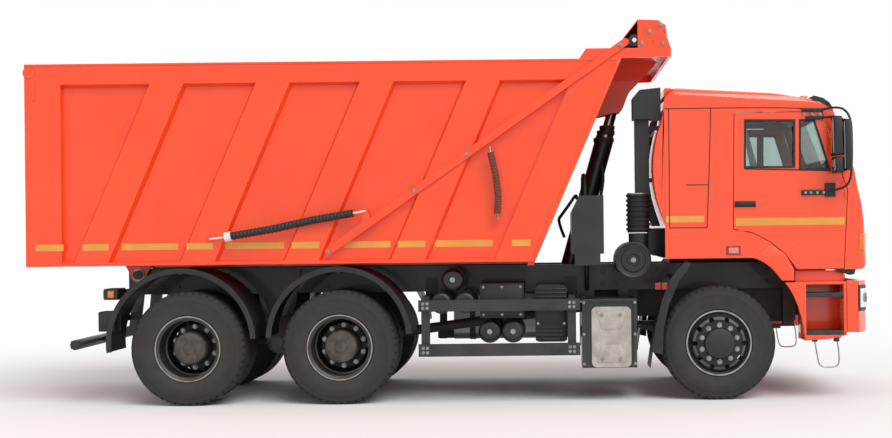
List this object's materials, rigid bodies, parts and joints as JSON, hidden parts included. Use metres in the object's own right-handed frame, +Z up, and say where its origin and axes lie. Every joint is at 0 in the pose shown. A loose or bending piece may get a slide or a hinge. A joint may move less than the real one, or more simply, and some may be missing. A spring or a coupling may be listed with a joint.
{
  "type": "6x4 dump truck",
  "caption": "Three-axle tipping lorry with a rear-tipping slant-ribbed steel bed, telescopic front hoist, forward-tilting cab and single front, twin rear wheels",
  "frame": {"origin": "on the ground at the middle of the truck's length and width", "axes": "+X to the front of the truck, +Y to its left, +Z up"},
  "size_m": [7.96, 3.07, 3.617],
  "materials": {
    "orange_paint": "gloss",
    "chassis_paint": "satin",
    "rim_paint": "satin",
    "tyre_rubber": "matt",
    "black_plastic": "matt",
    "steel": "machined",
    "iron": "cast",
    "aluminium": "pressed",
    "glass": "clear",
    "rubber": "matt",
    "interior": "matt",
    "lamp": "gloss"
  },
  "bodies": {
    "chassis": {"frame": "chassis_paint", "engine": "iron", "front_axle": "iron", "drive_axles": "iron", "leaf_springs": "chassis_paint", "mudguards": "black_plastic", "rear_underrun": "chassis_paint", "tail_lamps": "lamp", "side_guards": "chassis_paint", "air_tanks": "chassis_paint", "equipment_boxes": "black_plastic", "battery_box": "chassis_paint", "battery_lid": "aluminium", "fuel_tank": "chassis_paint", "silencer": "chassis_paint", "hydraulic_tank": "chassis_paint", "air_filter": "black_plastic", "bumper": "orange_paint", "steps": "orange_paint"},
    "cab": {"cab_shell": "orange_paint", "cab_roof": "orange_paint", "cab_front": "orange_paint", "cab_glass": "glass", "cab_interior": "interior", "intake_stack": "black_plastic", "intake_bellows": "rubber"},
    "door_right": {"door_right": "orange_paint", "door_glass_right": "glass", "mirrors_right": "black_plastic"},
    "door_left": {"door_left": "orange_paint", "door_glass_left": "glass", "mirrors_left": "black_plastic"},
    "knuckle_right": {"knuckle_right": "iron"},
    "knuckle_left": {"knuckle_left": "iron"},
    "track_rod": {"track_rod": "iron"},
    "bed": {"bed_floor": "orange_paint", "bed_side_right": "orange_paint", "bed_side_left": "orange_paint", "bed_front": "orange_paint", "visor": "orange_paint", "tarp_roller_box": "orange_paint", "tarp_bow": "orange_paint"},
    "tailgate": {"tailgate": "orange_paint"},
    "hoist_barrel": {"hoist_barrel": "chassis_paint"},
    "hoist_stage_one": {"hoist_stage_one": "steel"},
    "hoist_stage_two": {"hoist_stage_two": "steel"},
    "hoist_stage_three": {"hoist_stage_three": "steel"},
    "wheel_front_right": {"front_right_tyre": "tyre_rubber", "front_right_rim": "rim_paint"},
    "wheel_front_left": {"front_left_tyre": "tyre_rubber", "front_left_rim": "rim_paint"},
    "wheel_mid_right": {"mid_right_tyres": "tyre_rubber", "mid_right_rims": "rim_paint"},
    "wheel_mid_left": {"mid_left_tyres": "tyre_rubber", "mid_left_rims": "rim_paint"},
    "wheel_rear_right": {"rear_right_tyres": "tyre_rubber", "rear_right_rims": "rim_paint"},
    "wheel_rear_left": {"rear_left_tyres": "tyre_rubber", "rear_left_rims": "rim_paint"}
  },
  "joints": [
    {"name": "cab_tilt", "type": "hinge", "parent": "chassis", "child": "cab", "pos_m": [3.85, 0, 1.13], "axis": [0, 1, 0], "range_deg": [0, 50]},
    {"name": "door_right_swing", "type": "hinge", "parent": "cab", "child": "door_right", "pos_m": [3.8, -1.24, 1.6], "axis": [0, 0, 1], "range_deg": [0, 70]},
    {"name": "door_left_swing", "type": "hinge", "parent": "cab", "child": "door_left", "pos_m": [3.8, 1.24, 1.6], "axis": [0, 0, -1], "range_deg": [0, 70]},
    {"name": "steer_left", "type": "hinge", "parent": "chassis", "child": "knuckle_left", "pos_m": [2.57, 0.88, 0.541], "axis": [0, 0, 1], "range_deg": [-35, 35]},
    {"name": "steer_right", "type": "hinge", "parent": "chassis", "child": "knuckle_right", "pos_m": [2.57, -0.88, 0.541], "axis": [0, 0, 1], "range_deg": [-35, 35]},
    {"name": "track_rod_swing", "type": "hinge", "parent": "knuckle_left", "child": "track_rod", "pos_m": [2.4, 0.88, 0.407], "axis": [0, 0, 1], "range_deg": [-35, 35]},
    {"name": "bed_tilt", "type": "hinge", "parent": "chassis", "child": "bed", "pos_m": [-3.13, 0, 1.23], "axis": [0, -1, 0], "range_deg": [0, 50]},
    {"name": "tailgate_swing", "type": "hinge", "parent": "bed", "child": "tailgate", "pos_m": [-3.935, 0, 3.17], "axis": [0, 1, 0], "range_deg": [0, 60]},
    {"name": "hoist_swing", "type": "hinge", "parent": "chassis", "child": "hoist_barrel", "pos_m": [1.1, 0, 1], "axis": [0, -1, 0], "range_deg": [0, 42.7]},
    {"name": "hoist_slide_one", "type": "slide", "parent": "hoist_barrel", "child": "hoist_stage_one", "axis": [0.2744, 0, 0.9616], "range_m": [0, 1.187]},
    {"name": "hoist_slide_two", "type": "slide", "parent": "hoist_stage_one", "child": "hoist_stage_two", "axis": [0.2744, 0, 0.9616], "range_m": [0, 1.187]},
    {"name": "hoist_slide_three", "type": "slide", "parent": "hoist_stage_two", "child": "hoist_stage_three", "axis": [0.2744, 0, 0.9616], "range_m": [0, 1.187]},
    {"name": "front_right_roll", "type": "hinge", "parent": "knuckle_right", "child": "wheel_front_right", "pos_m": [2.57, -1.021, 0.541], "axis": [0, 1, 0], "continuous": true},
    {"name": "front_left_roll", "type": "hinge", "parent": "knuckle_left", "child": "wheel_front_left", "pos_m": [2.57, 1.021, 0.541], "axis": [0, 1, 0], "continuous": true},
    {"name": "mid_right_roll", "type": "hinge", "parent": "chassis", "child": "wheel_mid_right", "pos_m": [-1.03, -0.907, 0.541], "axis": [0, 1, 0], "continuous": true},
    {"name": "mid_left_roll", "type": "hinge", "parent": "chassis", "child": "wheel_mid_left", "pos_m": [-1.03, 0.907, 0.541], "axis": [0, 1, 0], "continuous": true},
    {"name": "rear_right_roll", "type": "hinge", "parent": "chassis", "child": "wheel_rear_right", "pos_m": [-2.47, -0.907, 0.541], "axis": [0, 1, 0], "continuous": true},
    {"name": "rear_left_roll", "type": "hinge", "parent": "chassis", "child": "wheel_rear_left", "pos_m": [-2.47, 0.907, 0.541], "axis": [0, 1, 0], "continuous": true}
  ],
  "couplings": [
    {"joint": "steer_right", "follows": "steer_left", "ratio": 1},
    {"joint": "track_rod_swing", "follows": "steer_left", "ratio": -1},
    {"joint": "hoist_swing", "follows": "bed_tilt", "ratio": 0.84311},
    {"joint": "hoist_slide_one", "follows": "bed_tilt", "m_per_rad": 1.3567},
    {"joint": "hoist_slide_two", "follows": "bed_tilt", "m_per_rad": 1.3567},
    {"joint": "hoist_slide_three", "follows": "bed_tilt", "m_per_rad": 1.3567}
  ]
}
